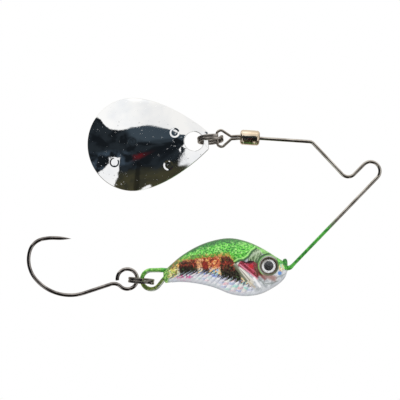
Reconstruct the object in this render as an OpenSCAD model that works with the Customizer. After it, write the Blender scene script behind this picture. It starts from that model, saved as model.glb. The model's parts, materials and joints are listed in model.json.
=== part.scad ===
// Micro overhead-arm spinner lure: a minnow-shaped metal jig cast on a bent through-wire,
// a barrel swivel with a split ring and a cupped blade on the arm's end,
// and a second split ring with a single hook on the tail loop.
// Every piece lies in the XZ plane: +X points to the nose, +Z to the fish's back.
// The origin is the centre of the open wire bend that the fishing line is tied to.

/* [Through-wire] */
// Diameter of the main wire
wire_d = 0.68; // [0.62:0.02:0.70]
// Centreline radius of the open line-tie bend
tie_r = 1.86; // [1.8:0.02:1.9]
// Slope of the upper arm, rising towards the swivel, in degrees
arm_slope = 3.8; // [3:0.2:4.6]
// Straight distance from the upper bend's corner to the middle of the barrel
arm_length = 12.4; // [12:0.1:13]

/* [Barrel swivel] */
// Outer diameter of the barrel
barrel_d = 3.0; // [2.8:0.1:3.2]
// Length of the barrel
barrel_length = 3.9; // [3.8:0.1:4.2]
// Wall thickness of the barrel
barrel_wall = 0.35; // [0.3:0.05:0.4]
// Radius that the barrel's ends are rolled over to
barrel_corner_r = 0.62; // [0.5:0.02:0.7]
// Wire diameter of the swivel's eye
eye_wire_d = 0.52; // [0.46:0.02:0.54]
// Downward slope of the swivel's eye, towards the blade, in degrees
eye_slope = 4.1; // [3:0.1:5]
// Distance from the barrel's mouth to the wire that the split ring hangs on
eye_reach = 4.78; // [4.7:0.01:4.9]

/* [Split rings] */
// Outer diameter of both split rings
ring_d = 5.25; // [5.1:0.05:5.3]
// Radial width of the ring wire
ring_wire_w = 0.52; // [0.48:0.02:0.56]
// Height of one coil of the ring wire
ring_wire_h = 0.54; // [0.5:0.02:0.56]
// Upward tilt of the tail ring's rear side, in degrees
tail_ring_tilt = 5.3; // [4:0.1:6]

/* [Blade] */
// Length of the blade from the middle of its hanging strip to its far end
blade_reach = 23.65; // [23:0.05:24]
// Half of the blade's greatest width
blade_half_w = 9.3; // [9:0.05:9.5]
// Depth of the blade's cup
blade_depth = 2.9; // [2.4:0.1:3.2]
// Thickness of the blade's sheet
blade_t = 0.45; // [0.4:0.05:0.5]
// Diameter of the hole for the split ring
blade_hole_d = 3.8; // [3.6:0.05:3.8]
// Downward slope of the blade, towards its far end, in degrees
blade_slope = 3.0; // [2:0.1:4]

/* [Hook] */
// Wire diameter of the hook
hook_d = 0.74; // [0.68:0.02:0.76]
// Mean radius of the hook's eye
hook_eye_r = 2.0; // [1.98:0.01:2.04]
// Length of the ground point
hook_point_length = 3.0; // [2.6:0.1:3.4]

/* [Fish body] */
// Thickness of the holographic film on the flanks
film_t = 0.08; // [0.06:0.01:0.1]
// Radius of the printed eye disc
eye_disc_r = 1.46; // [1.4:0.01:1.5]
// Height of the clear dome over the eye disc
eye_dome_h = 0.45; // [0.4:0.01:0.55]

/* [Hidden] */
$fn = 48;

// Facets round a swept wire, and degrees of bend between its rings
wire_sides = 16;
bend_step = 9;

// Corners of the through-wire's route as [x, z, bend radius], from the swivel to the tail
upper_bend = [-11.75, 5.84, 1.2];
lower_bend = [-4.48, -1.88, 1.65];
tie_corner = tie_r * sqrt(2);
nose_bend = [-16.1, -19.4, 1.2];
loop_r = 1.88;
loop_rear_x = -45.72;
loop_top_z = -19.88;
loop_low_z = loop_top_z - 2 * loop_r;

// The barrel's middle and its mouth, both on the arm's line
arm_dir = [-cos(arm_slope), sin(arm_slope)];
barrel_middle = [upper_bend[0], upper_bend[1]] + arm_length * arm_dir;
mouth = barrel_middle + (barrel_length - barrel_wall) / 2 * arm_dir;
head_r = 0.72;
head_back = 1.0;
journal_back = 0.775;
journal_length = 2.2;
arm_end = barrel_middle - journal_back * arm_dir;
journal_d = wire_d + 0.02;
journal_hole_d = journal_d + 0.12;
neck_hole_d = 1.2;
neck_half = eye_wire_d / 2 + 0.01;

// Outline of the swivel eye: its neck ends, it is widest, and half its width there and at the ring
neck_end = 2.0;
eye_widest = 3.9;
eye_half_w = 1.75;
eye_end_half_w = 1.35;

// The wire of the swivel's eye that the blade's split ring hangs on
eye_dir = [-cos(eye_slope), -sin(eye_slope)];
ring_hang = mouth + eye_reach * eye_dir;
ring_beyond_hang = 1.36;
blade_ring_roll = 12;
blade_ring_middle = ring_hang + ring_beyond_hang * eye_dir;
blade_beyond_hang = 2.31;
blade_drop = 0.22;
blade_hang = ring_hang + blade_beyond_hang * eye_dir - [0, blade_drop];

// Ring geometry: two flat coils joined by one crossover
coil_gap = 0.03;
ring_chamfer = 0.12;
coil_step = ring_wire_h + coil_gap;
crossover_angle = 36;
coil_end_angle = crossover_angle / 2 + 3;
tail_ring_middle = [-45.84, -21.95];

// The blade's outline: strip end, widest place and its hole
blade_tip = -0.55;
blade_tip_half = 1.7;
blade_widest = 14.6;
blade_strip_half = 0.45;
blade_hole_u = blade_strip_half + blade_hole_d / 2;
blade_bowl_u = 13.4;
tip_flattening = 0.1;

// The hook's eye and its route as [x, z, bend radius], from the eye to the ground point
hook_eye = [-48.64, -21.6];
hook_eye_start = 227;
hook_eye_sweep = 321;
hook_route = [
    [hook_eye[0] + hook_eye_r * cos(hook_eye_start), hook_eye[1] + hook_eye_r * sin(hook_eye_start), 0],
    [-50.85, -22.27, 1.96],
    [-63.14, -26.34, 9.0],
    [-69.10, -18.97, 6.0],
    [-67.47, -13.93, 3.4],
    [-64.16, -13.34, 10.0],
    [-62.85, -13.40, 0]
];

// Stations of the fish from tail to nose: [back x, back z, belly x, belly z, half thickness]
stations = [
    [-41.2, -19.9, -40.9, -22.4, 0.72],
    [-38.0, -17.1, -38.0, -22.15, 1.25],
    [-34.6, -15.05, -34.6, -22.5, 1.85],
    [-31.3, -13.87, -31.3, -23.3, 2.35],
    [-28.0, -13.44, -28.0, -24.6, 2.65],
    [-24.7, -14.1, -25.0, -25.02, 2.72],
    [-21.6, -15.5, -22.0, -24.6, 2.52],
    [-18.9, -17.15, -19.2, -23.2, 2.0],
    [-17.2, -18.3, -17.3, -21.6, 1.25],
    [-16.55, -19.7, -16.55, -19.9, 0.1]
];
section_power = 2.2;
body_sides = 32;
gate_foot = [-17.1, -19.0];
gate_h = 1.5;

// Part of the flank that the film covers, in stations and in degrees round from the back
film_from = 0.5;
film_to = 5.2;
film_top_angle = 48;
film_low_angle = 168;
film_gap = 0.01;

// The eyes, and the raised sockets that they sit in, measured along each eye's own axis
eye_middle = [-20.72, -18.92];
eye_yaw = 8;
socket_floor = 2.02;
socket_rim = 2.42;
socket_r = eye_disc_r + 0.04;
rim_r = 1.9;
disc_t = 0.12;

// ---- curves ----

function unit(v) = v / norm(v);

// Signed angle in degrees from direction a to direction b
function turn(a, b) = atan2(a[0] * b[1] - a[1] * b[0], a * b);

// Direction's angle in degrees, and the direction a quarter turn to its left
function heading(v) = atan2(v[1], v[0]);
function left_of(v) = [-v[1], v[0]];

// Catmull-Rom blend of four values
function blend4(a, b, c, d, s) =
    0.5 * (2 * b + (c - a) * s + (2 * a - 5 * b + 4 * c - d) * s * s + (3 * b - a - 3 * c + d) * s * s * s);

// Point at t on a smooth curve through a list of points, with t counted in points
function smooth(points, t) =
    let (last = len(points) - 1)
    let (i = min(floor(t), last - 1))
    blend4(points[max(i - 1, 0)], points[i], points[i + 1], points[min(i + 2, last)], t - i);

// Point at t in 0..1 on a cubic Bezier curve
function bezier(a, b, c, d, t) =
    pow(1 - t, 3) * a + 3 * pow(1 - t, 2) * t * b + 3 * (1 - t) * t * t * c + t * t * t * d;

// Stations of [x, y, heading, radius] along a route of [x, y, bend radius] corners
function bent_path(route, r) =
    let (last = len(route) - 1)
    let (points = [for (corner = route) [corner[0], corner[1]]])
    let (dirs = [for (i = [0:last - 1]) unit(points[i + 1] - points[i])])
    let (turns = [for (i = [0:last]) i == 0 || i == last ? 0 : turn(dirs[i - 1], dirs[i])])
    let (trims = [for (i = [0:last]) abs(route[i][2]) * tan(abs(turns[i]) / 2)])
    concat(
        [[points[0][0], points[0][1], heading(dirs[0]), r]],
        [for (i = [1:last - 1])
            let (straight = norm(points[i] - points[i - 1]) - trims[i - 1] - trims[i])
            let (steps = ceil(abs(turns[i]) / bend_step), from = straight > 0.02 ? 0 : 1)
            let (start = points[i] - dirs[i - 1] * trims[i], side = sign(turns[i]))
            let (centre = start + side * route[i][2] * left_of(dirs[i - 1]))
            for (k = [from:steps])
                let (h = heading(dirs[i - 1]) + turns[i] * k / steps)
                let (p = centre + side * route[i][2] * [sin(h), -cos(h)])
                [p[0], p[1], h, r]],
        [[points[last][0], points[last][1], heading(dirs[last - 1]), r]]);

// Cosine and sine flattened into a superellipse
function soft_cos(angle) = sign(cos(angle)) * pow(abs(cos(angle)), 2 / section_power);
function soft_sin(angle) = sign(sin(angle)) * pow(abs(sin(angle)), 2 / section_power);

// Point on the fish: t counts stations, angle runs round from the back, grow swells it outwards
function fish_point(t, angle, grow = 0) =
    let (s = smooth(stations, t))
    let (back = [s[0], s[1]], belly = [s[2], s[3]])
    let (middle = (back + belly) / 2, up = unit(back - belly) * (norm(back - belly) / 2 + grow))
    let (p = middle + up * soft_cos(angle))
    [p[0], (s[4] + grow) * soft_sin(angle), p[1]];

// ---- shared shapes ----

// Stands a shape drawn in the XY plane up into the XZ plane
module upright() {
    rotate([90, 0, 0]) children();
}

// Places a shape drawn along +X at a point of the XZ plane, turned to an angle
module placed(point, angle) {
    upright() translate([point[0], point[1], 0]) rotate([0, 0, angle]) children();
}

// Round wire swept along stations of [x, y, heading, radius]
module swept(stations) {
    skin([for (st = stations)
        [for (k = [0:wire_sides - 1])
            let (a = -360 * k / wire_sides, side = st[3] * cos(a))
            [st[0] - side * sin(st[2]), st[1] + side * cos(st[2]), st[3] * sin(a)]]]);
}

// Closed skin over a list of equal rings of points, with flat ends
module skin(rings) {
    n = len(rings[0]);
    last = len(rings) - 1;
    points = [for (ring = rings) each ring];
    sides = [for (i = [0:last - 1], j = [0:n - 1])
        let (a = i * n + j, b = i * n + (j + 1) % n)
        each [[a, b, b + n], [a, b + n, a + n]]];
    first_cap = [for (j = [n - 1:-1:0]) j];
    last_cap = [for (j = [0:n - 1]) last * n + j];
    polyhedron(points = points, faces = concat(sides, [first_cap, last_cap]));
}

// Height of the ring wire's middle after a given turn, in degrees: two flat coils and a crossover
function coil_rise(turned) =
    let (t = max(0, min(1, (turned - 360) / crossover_angle + 0.5)))
    -cos(180 * t) * coil_step / 2;

// Two-turn split ring about Z, middle at the origin, with its crossover on the +X side
module split_ring() {
    mean_r = (ring_d - ring_wire_w) / 2;
    w = ring_wire_w / 2;
    h = ring_wire_h / 2;
    c = ring_chamfer;
    section = [
        [-w, c - h], [c - w, -h], [w - c, -h], [w, c - h],
        [w, h - c], [w - c, h], [c - w, h], [-w, h - c]
    ];
    steps = 62;
    skin([for (k = [0:steps])
        let (turned = coil_end_angle + (720 - 2 * coil_end_angle) * k / steps)
        [for (q = section)
            [(mean_r + q[0]) * cos(turned), (mean_r + q[0]) * sin(turned), q[1] + coil_rise(turned)]]]);
}

// ---- fish body ----

module fish_solid() {
    fine_tail = [for (t = [0:0.25:7.75]) t];
    fine_nose = [for (t = [8:0.2:9]) t];
    skin([for (t = concat(fine_tail, fine_nose))
        [for (j = [0:body_sides - 1]) fish_point(t, 360 * j / body_sides)]]);
}

// Puts a shape drawn along +Z on one side of the head, facing outwards; side is -1 or 1
module on_eye(side) {
    translate([eye_middle[0], 0, eye_middle[1]]) rotate([0, 0, -side * eye_yaw])
        rotate([-side * 90, 0, 0]) children();
}

module body_core() {
    color("yellowgreen") difference() {
        union() {
            fish_solid();
            for (side = [-1, 1]) on_eye(side) cylinder(h = socket_rim, r = rim_r);
            // Stub of the casting gate on the nose
            translate([gate_foot[0], 0, gate_foot[1]]) cylinder(h = gate_h, r1 = 0.5, r2 = 0.38);
        }
        for (side = [-1, 1]) on_eye(side) translate([0, 0, socket_floor]) cylinder(h = rim_r, r = socket_r);
        upright() swept(through_path(wire_d / 2 + 0.01));
    }
}

// Thin film over the right flank, from behind the gill to the tail
module flank_film() {
    columns = 24;
    rows = 12;
    at = function (i) film_from + (film_to - film_from) * i / columns;
    around = function (j) film_top_angle + (film_low_angle - film_top_angle) * j / rows;
    skin([for (i = [0:columns]) concat(
        [for (j = [0:rows]) fish_point(at(i), around(j), film_gap + film_t)],
        [for (j = [rows:-1:0]) fish_point(at(i), around(j), film_gap)])]);
}

module film_left() {
    color("silver") mirror([0, 1, 0]) flank_film();
}

module film_right() {
    color("silver") flank_film();
}

module eye_disc(side) {
    on_eye(side) translate([0, 0, socket_floor]) cylinder(h = disc_t, r = eye_disc_r);
}

module eye_dome(side) {
    ball_r = (eye_disc_r * eye_disc_r + eye_dome_h * eye_dome_h) / (2 * eye_dome_h);
    on_eye(side) translate([0, 0, socket_floor + disc_t]) intersection() {
        cylinder(h = eye_dome_h + 0.1, r = eye_disc_r);
        translate([0, 0, eye_dome_h - ball_r]) sphere(r = ball_r, $fn = 96);
    }
}

module eye_disc_left() {
    color("black") eye_disc(-1);
}

module eye_disc_right() {
    color("black") eye_disc(1);
}

module eye_dome_left() {
    color("whitesmoke") eye_dome(-1);
}

module eye_dome_right() {
    color("whitesmoke") eye_dome(1);
}

// ---- through-wire ----

// Path of the bent wire, from the swivel round the line tie, through the fish to its tail loop
function through_path(r) =
    bent_path([
        [arm_end[0], arm_end[1], 0],
        upper_bend,
        lower_bend,
        [0, tie_corner, tie_r],
        [tie_corner, 0, tie_r],
        nose_bend,
        [loop_rear_x, loop_top_z, loop_r],
        [loop_rear_x, loop_low_z, loop_r],
        [-42.92, loop_low_z, loop_r],
        [-40.92, -21.08, 1.2],
        [-38.2, -21.08, 0]
    ], r);

module wire_form() {
    color("lightgray") union() {
        upright() swept(through_path(wire_d / 2));
        // Round journal that the barrel turns on, and the upset head that keeps it in
        placed(arm_end, -arm_slope) {
            rotate([0, 90, 0]) cylinder(h = journal_length, d = journal_d);
            sphere(r = head_r);
        }
    }
}

// ---- barrel swivel ----

// Half section of a drum with rolled corners, along Y
module drum_section(r, half, corner) {
    translate([0, -half]) square([r - corner, 2 * half]);
    translate([0, corner - half]) square([r, 2 * (half - corner)]);
    for (y = [corner - half, half - corner]) translate([r - corner, y]) circle(r = corner);
}

module swivel_barrel() {
    half = barrel_length / 2;
    inner_corner = barrel_corner_r - barrel_wall * 0.6;
    color("wheat") placed(barrel_middle, 180 - arm_slope) rotate([0, 90, 0]) rotate_extrude($fn = 96)
        difference() {
            drum_section(barrel_d / 2, half, barrel_corner_r);
            drum_section(barrel_d / 2 - barrel_wall, half - barrel_wall, inner_corner);
            square([neck_hole_d / 2, half + 1]);
            translate([0, -half - 1]) square([journal_hole_d / 2, half + 1]);
        }
}

module swivel_eye() {
    color("gray") placed(mouth, 180 + eye_slope) union() {
        swept(bent_path([
            [-head_back, neck_half, 0],
            [neck_end, neck_half, 0.5],
            [eye_widest, eye_half_w, 0.7],
            [eye_reach, eye_end_half_w, 0.6],
            [eye_reach, -eye_end_half_w, 0.6],
            [eye_widest, -eye_half_w, 0.7],
            [neck_end, -neck_half, 0.5],
            [-head_back, -neck_half, 0]
        ], eye_wire_d / 2));
        translate([-head_back, 0, 0]) sphere(r = head_r);
    }
}

// ---- split rings ----

module blade_ring() {
    color("dimgray") placed(blade_ring_middle, 180 + eye_slope)
        rotate([90 + blade_ring_roll, 0, 0]) rotate([0, 0, 150])
        split_ring();
}

module tail_ring() {
    color("dimgray") placed(tail_ring_middle, -tail_ring_tilt) rotate([90, 0, 0]) rotate([0, 0, 60])
        split_ring();
}

// ---- blade ----

// Half width of the blade at t in 0..1, from the strip's end to the far end, as [along, half width]
function blade_edge(t) =
    t < 0.5
        ? bezier([blade_tip, blade_tip_half], [2.2, 4.3], [8.8, blade_half_w - 0.1],
                 [blade_widest, blade_half_w], 2 * t)
        : let (a = 180 * (t - 0.5))
          [blade_widest + (blade_reach - blade_widest) * sin(a), blade_half_w * cos(a)];

// Point of the blade's sheet: s runs from the bowl's bottom to the edge, k round the outline
function blade_point(outline, k, s, rise) =
    let (edge = outline[k], toward_tip = max(0, -(edge[0] - blade_bowl_u)) / (blade_bowl_u - blade_tip))
    [blade_bowl_u + s * (edge[0] - blade_bowl_u), s * edge[1],
     rise + blade_depth * pow(1 - s * s, 1 + tip_flattening * toward_tip * toward_tip)];

module blade_sheet() {
    half_steps = 30;
    upper = [for (i = [0:half_steps]) blade_edge(i / half_steps)];
    lower = [for (i = [half_steps - 1:-1:0]) [upper[i][0], -upper[i][1]]];
    outline = concat(upper, lower);
    n = len(outline);
    rows = [0.12, 0.3, 0.45, 0.58, 0.7, 0.8, 0.89, 0.95, 1];
    inner = [for (s = rows) [for (k = [0:n - 1]) blade_point(outline, k, s, -blade_t / 2)]];
    outer = [for (s = rows) [for (k = [0:n - 1]) blade_point(outline, k, s, blade_t / 2)]];
    skin(concat(inner, [for (i = [len(rows) - 1:-1:0]) outer[i]]));
}

module blade() {
    color("gainsboro") placed(blade_hang, 180 + blade_slope) difference() {
        blade_sheet();
        translate([blade_hole_u, 0, -5]) cylinder(h = 12, d = blade_hole_d, $fn = 96);
    }
}

// ---- hook ----

// The hook's wire from the open end of its eye, round the bend, to the ground point
function hook_path() =
    let (last = len(hook_route) - 1, r = hook_d / 2)
    let (end = [hook_route[last][0], hook_route[last][1]])
    let (along = unit(end - [hook_route[last - 1][0], hook_route[last - 1][1]]))
    concat(
        [for (a = [hook_eye_start + hook_eye_sweep:-hook_eye_sweep / 36:hook_eye_start + 5])
            [hook_eye[0] + hook_eye_r * cos(a), hook_eye[1] + hook_eye_r * sin(a), a - 90, r]],
        bent_path(hook_route, r),
        [for (t = [0.25:0.25:1])
            let (p = end + t * hook_point_length * along)
            [p[0], p[1], heading(along), max(0.03, r * (1 - t * t))]]);

module hook() {
    color("darkslategray") upright() swept(hook_path());
}

body_core();
film_left();
film_right();
eye_disc_left();
eye_disc_right();
eye_dome_left();
eye_dome_right();
wire_form();
swivel_barrel();
swivel_eye();
blade_ring();
blade();
tail_ring();
hook();
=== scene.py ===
import json
import math

import bmesh
import bpy
import numpy as np
from mathutils import Matrix, Vector, geometry, noise


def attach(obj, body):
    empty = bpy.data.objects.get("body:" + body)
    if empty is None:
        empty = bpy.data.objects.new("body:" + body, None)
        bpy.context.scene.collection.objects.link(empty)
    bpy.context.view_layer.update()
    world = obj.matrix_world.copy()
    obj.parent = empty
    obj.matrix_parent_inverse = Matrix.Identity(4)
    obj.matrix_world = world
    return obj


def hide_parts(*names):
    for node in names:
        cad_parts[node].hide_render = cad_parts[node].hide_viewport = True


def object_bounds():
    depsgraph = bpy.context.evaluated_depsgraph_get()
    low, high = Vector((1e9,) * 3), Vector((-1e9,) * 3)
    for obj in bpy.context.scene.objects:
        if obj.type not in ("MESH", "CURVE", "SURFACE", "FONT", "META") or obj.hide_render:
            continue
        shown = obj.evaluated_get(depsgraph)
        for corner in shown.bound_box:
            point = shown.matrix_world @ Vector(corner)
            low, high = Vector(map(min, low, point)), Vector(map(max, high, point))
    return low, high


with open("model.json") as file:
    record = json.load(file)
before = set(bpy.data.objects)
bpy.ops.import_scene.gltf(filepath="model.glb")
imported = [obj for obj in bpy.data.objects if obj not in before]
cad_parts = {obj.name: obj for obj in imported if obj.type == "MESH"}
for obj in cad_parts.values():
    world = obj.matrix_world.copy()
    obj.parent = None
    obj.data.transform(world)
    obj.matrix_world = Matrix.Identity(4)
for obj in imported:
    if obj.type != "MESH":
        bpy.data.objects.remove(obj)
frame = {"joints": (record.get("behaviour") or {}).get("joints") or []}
cad_lo, cad_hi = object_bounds()

# Looks of a micro overhead-arm spinner lure. The frame's axes: +X to the nose, +Z to the fish's back,
# -Y to the left side, which the camera faces. Shapes are in millimetres until a piece is made.
MM = 0.001
# Edges that turn further than this many degrees are drawn sharp
SHARP_EDGE = 40

# ---- sizes shared with the CAD part, in millimetres ----

WIRE_D = 0.68
TIE_R = 1.86
ARM_SLOPE = 3.8
BARREL_R = 1.5
BARREL_HALF = 1.95
BARREL_WALL = 0.35
BARREL_CORNER = 0.62
JOURNAL_HOLE_R = 0.41
NECK_HOLE_R = 0.6
EYE_WIRE_D = 0.52
EYE_SLOPE = 4.1
HEAD_R = 0.72
HEAD_BACK = 0.775
RING_MEAN_R = 2.365
RING_HALF_W = 0.26
RING_HALF_H = 0.27
RING_CORNER = 0.13
COIL_STEP = 0.57
CROSSOVER = 36
RING_BEYOND_HANG = 1.36
TAIL_RING_MIDDLE = (-45.84, -21.95)
TAIL_RING_TILT = 5.3
BLADE_SLOPE = 3.0
BLADE_TIP = (-0.55, 1.7)
BLADE_WIDEST = 14.6
BLADE_REACH = 23.65
BLADE_HALF_W = 9.3
BLADE_DEPTH = 2.9
BLADE_T = 0.45
BLADE_BOWL = 13.4
BLADE_SHOULDER = (2.2, 4.3)
BLADE_SIDE = (8.8, 9.2)
BLADE_HOLE = 2.35
BLADE_HOLE_R = 1.9
HOOK_D = 0.74
HOOK_EYE_R = 2.0
HOOK_POINT = 3.0
FILM_GAP = 0.01
FILM_T = 0.08
EYE_MIDDLE = (-20.72, -18.92)
EYE_YAW = 8
SOCKET_FLOOR = 2.02
SOCKET_R = 1.5
DISC_R = 1.46
DISC_T = 0.12
DOME_H = 0.45

# Stations of the fish from tail to nose: back x, back z, belly x, belly z, half thickness
STATIONS = np.array([
    (-41.2, -19.9, -40.9, -22.4, 0.72),
    (-38.0, -17.1, -38.0, -22.15, 1.25),
    (-34.6, -15.05, -34.6, -22.5, 1.85),
    (-31.3, -13.87, -31.3, -23.3, 2.35),
    (-28.0, -13.44, -28.0, -24.6, 2.65),
    (-24.7, -14.1, -25.0, -25.02, 2.72),
    (-21.6, -15.5, -22.0, -24.6, 2.52),
    (-18.9, -17.15, -19.2, -23.2, 2.0),
    (-17.2, -18.3, -17.3, -21.6, 1.25),
    (-16.55, -19.7, -16.55, -19.9, 0.1),
])
SECTION_POWER = 2.2

# Moulded lines of the head, as x, z points: the gill cover's rear edge, its stripes, and the jaw
GILL_EDGE = [(-22.9, -15.5), (-23.7, -16.1), (-24.4, -17.1), (-25.2, -17.7), (-26.3, -17.85), (-27.0, -18.3),
             (-26.3, -19.6), (-25.3, -21.0), (-24.0, -22.2), (-22.9, -22.9)]
GILL_STRIPES = [[(-26.0, -18.7), (-24.4, -19.7), (-22.7, -21.6)],
                [(-25.5, -18.5), (-23.9, -19.4), (-22.6, -20.9)],
                [(-25.7, -19.6), (-24.6, -20.7), (-23.4, -21.9)]]
JAW_LINES = [[(-22.4, -21.3), (-21.4, -22.4), (-19.9, -22.6), (-18.6, -22.0)],
             [(-18.9, -21.4), (-17.9, -20.9), (-17.1, -20.7)]]

JOINTS = {joint["name"]: joint for joint in frame["joints"]}


def joint_point(name):
    """Where a joint turns, as x, z in millimetres."""
    x, _, z = JOINTS[name]["pos_m"]
    return np.array([x, z]) / MM


def direction(degrees):
    """Unit vector at an angle in the plane."""
    return np.array([math.cos(math.radians(degrees)), math.sin(math.radians(degrees))])


# ---- curves ----

def bent_path(route, step):
    """Stations (x, y, heading in degrees) along a route of (x, y, bend radius) corners."""
    points = [np.array(corner[:2], float) for corner in route]
    runs = [b - a for a, b in zip(points, points[1:])]
    dirs = [run / np.linalg.norm(run) for run in runs]
    headings = [math.degrees(math.atan2(d[1], d[0])) for d in dirs]
    stations = [(*points[0], headings[0])]
    for corner, before, h0, h1 in zip(route[1:-1], dirs, headings, headings[1:]):
        turned = (h1 - h0 + 180) % 360 - 180
        side = math.copysign(1, turned)
        trim = corner[2] * math.tan(math.radians(abs(turned)) / 2)
        start = np.array(corner[:2]) - before * trim
        centre = start + side * corner[2] * np.array([-before[1], before[0]])
        steps = math.ceil(abs(turned) / step)
        for k in range(steps + 1):
            heading = h0 + turned * k / steps
            arm = side * corner[2] * direction(heading - 90)
            stations.append((*(centre + arm), heading))
    stations.append((*points[-1], headings[-1]))
    return stations


def filled(stations, gap):
    """The same stations, with more of them along long straight runs."""
    out = [stations[0]]
    for a, b in zip(stations, stations[1:]):
        run = math.dist(a[:2], b[:2])
        if run < 1e-3:
            continue
        parts = max(1, round(run / gap))
        turned = (b[2] - a[2] + 180) % 360 - 180
        for k in range(1, parts + 1):
            s = k / parts
            out.append((a[0] + (b[0] - a[0]) * s, a[1] + (b[1] - a[1]) * s, a[2] + turned * s))
    return out


def smooth_stations(t):
    """Catmull-Rom curve through the fish's stations; t counts stations."""
    last = len(STATIONS) - 1
    i = np.minimum(np.floor(t).astype(int), last - 1)
    s = (t - i)[..., None]
    a, b = STATIONS[np.maximum(i - 1, 0)], STATIONS[i]
    c, d = STATIONS[i + 1], STATIONS[np.minimum(i + 2, last)]
    return 0.5 * (2 * b + (c - a) * s + (2 * a - 5 * b + 4 * c - d) * s**2 + (3 * b - a - 3 * c + d) * s**3)


def smoothstep(value, low, high):
    """0 up to low, 1 from high, smooth between; low may be the larger."""
    t = np.clip((value - low) / (high - low), 0, 1)
    return t * t * (3 - 2 * t)


def line_distance(x, z, points):
    """Distance to a line of points, positive on its left side seen along it."""
    best = np.full(x.shape, np.inf)
    side = np.ones(x.shape)
    for (x0, z0), (x1, z1) in zip(points, points[1:]):
        along = np.array([x1 - x0, z1 - z0])
        t = np.clip(((x - x0) * along[0] + (z - z0) * along[1]) / (along @ along), 0, 1)
        off = np.hypot(x - x0 - t * along[0], z - z0 - t * along[1])
        cross = along[0] * (z - z0) - along[1] * (x - x0)
        nearer = off < best
        best = np.where(nearer, off, best)
        side = np.where(nearer, np.sign(cross), side)
    return best * side


# ---- meshes ----

def standing(point=(0, 0), angle=0):
    """Stands a shape drawn in the XY plane up in the XZ plane, at a point and an angle."""
    place = Matrix.Translation((point[0], point[1], 0)) @ Matrix.Rotation(math.radians(angle), 4, "Z")
    return Matrix.Rotation(math.radians(90), 4, "X") @ place


def tube(stations, radii, sides=32):
    """Closed round wire along stations, with chamfered cut ends; radii is one number or one a station."""
    radii = np.broadcast_to(np.asarray(radii, float), (len(stations),))
    chamfer = 0.22
    first, last = stations[0], stations[-1]
    r0, r1 = radii[0], radii[-1]
    inset0 = np.array(first[:2]) + direction(first[2]) * r0 * chamfer
    inset1 = np.array(last[:2]) - direction(last[2]) * r1 * chamfer
    rings = [(*first, r0 * (1 - chamfer)), (*inset0, first[2], r0)]
    rings += [(*st, r) for st, r in zip(stations[1:-1], radii[1:-1])]
    rings += [(*inset1, last[2], r1), (*last, r1 * (1 - chamfer))]
    verts = []
    for x, y, heading, r in rings:
        left = direction(heading + 90)
        for k in range(sides):
            a = 2 * math.pi * k / sides
            across = r * math.cos(a)
            verts.append((x + across * left[0], y + across * left[1], r * math.sin(a)))
    return skin(np.array(verts).reshape(len(rings), sides, 3))


def skin(grid, closed=False):
    """Quads between rings of points; ends are capped unless the rings close on themselves."""
    rings, sides = grid.shape[:2]
    faces = []
    for i in range(rings if closed else rings - 1):
        for j in range(sides):
            a, b = i * sides + j, i * sides + (j + 1) % sides
            above = ((i + 1) % rings - i) * sides
            faces.append((a, b, b + above, a + above))
    if not closed:
        faces.append(tuple(range(sides - 1, -1, -1)))
        faces.append(tuple(range((rings - 1) * sides, rings * sides)))
    return grid.reshape(-1, 3), faces


def lathe(profile, sides=96, closed=True):
    """Turns (radius, height) points round Z; a closed profile makes a ring or a tube."""
    turns = [2 * math.pi * k / sides for k in range(sides)]
    grid = np.array([[(r * math.cos(a), r * math.sin(a), h) for r, h in profile] for a in turns])
    return skin(grid, closed=True) if closed else skin(grid.transpose(1, 0, 2))


def arc(centre, r, start, end, steps=6):
    """Points of a round corner."""
    turns = [start + (end - start) * k / steps for k in range(steps + 1)]
    return [tuple(np.array(centre) + r * direction(turn)) for turn in turns]


def moved(shape, matrix):
    """The shape turned and shifted by a matrix."""
    verts, faces = shape
    turned = np.array(matrix)
    return verts @ turned[:3, :3].T + turned[:3, 3], faces


def joined(*shapes):
    """Several shapes as one."""
    verts, faces = [], []
    count = 0
    for v, f in shapes:
        verts.append(v)
        faces += [tuple(i + count for i in face) for face in f]
        count += len(v)
    return np.concatenate(verts), faces


def new_object(name, shape, material):
    """A mesh object, from points in millimetres and faces."""
    verts, faces = shape
    mesh = bpy.data.meshes.new(name)
    mesh.from_pydata((np.asarray(verts) * MM).tolist(), [], faces)
    mesh.materials.append(material)
    made = bpy.data.objects.new(name, mesh)
    bpy.context.scene.collection.objects.link(made)
    return made


def make_piece(name, shape, body, node, material, values=None):
    """Makes the shape a piece that rides on a body in place of a CAD node; values are point attributes."""
    piece = new_object(name, shape, material)
    mesh = piece.data
    for key, numbers in (values or {}).items():
        mesh.attributes.new(key, "FLOAT", "POINT").data.foreach_set("value", np.asarray(numbers, np.float32))
    work = bmesh.new()
    work.from_mesh(mesh)
    bmesh.ops.recalc_face_normals(work, faces=work.faces)
    for edge in work.edges:
        edge.smooth = edge.calc_face_angle(0) < math.radians(SHARP_EDGE)
    for face in work.faces:
        face.smooth = True
    work.to_mesh(mesh)
    work.free()
    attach(piece, body)
    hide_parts(node)
    return piece


# ---- shader arithmetic; a colour is (red, green, blue) from 0 to 255 ----

def linear(colour):
    """A colour as the shader's linear one."""
    return (*(((c / 255 + 0.055) / 1.055) ** 2.4 if c > 10 else c / 3295 for c in colour), 1)


def plug(slot, value):
    """Links a field to a shader input, or sets a number or colour on it."""
    if isinstance(value, Field):
        slot.id_data.links.new(value.socket, slot)
    elif isinstance(value, tuple) and len(value) == 3:
        slot.default_value = linear(value)
    else:
        slot.default_value = value


def add_node(tree, kind, **inputs):
    """A new shader node with its inputs set; an underscore in an input's name stands for a space."""
    node = tree.nodes.new("ShaderNode" + kind)
    for key, value in inputs.items():
        plug(node.inputs[key.replace("_", " ")], value)
    return node


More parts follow.
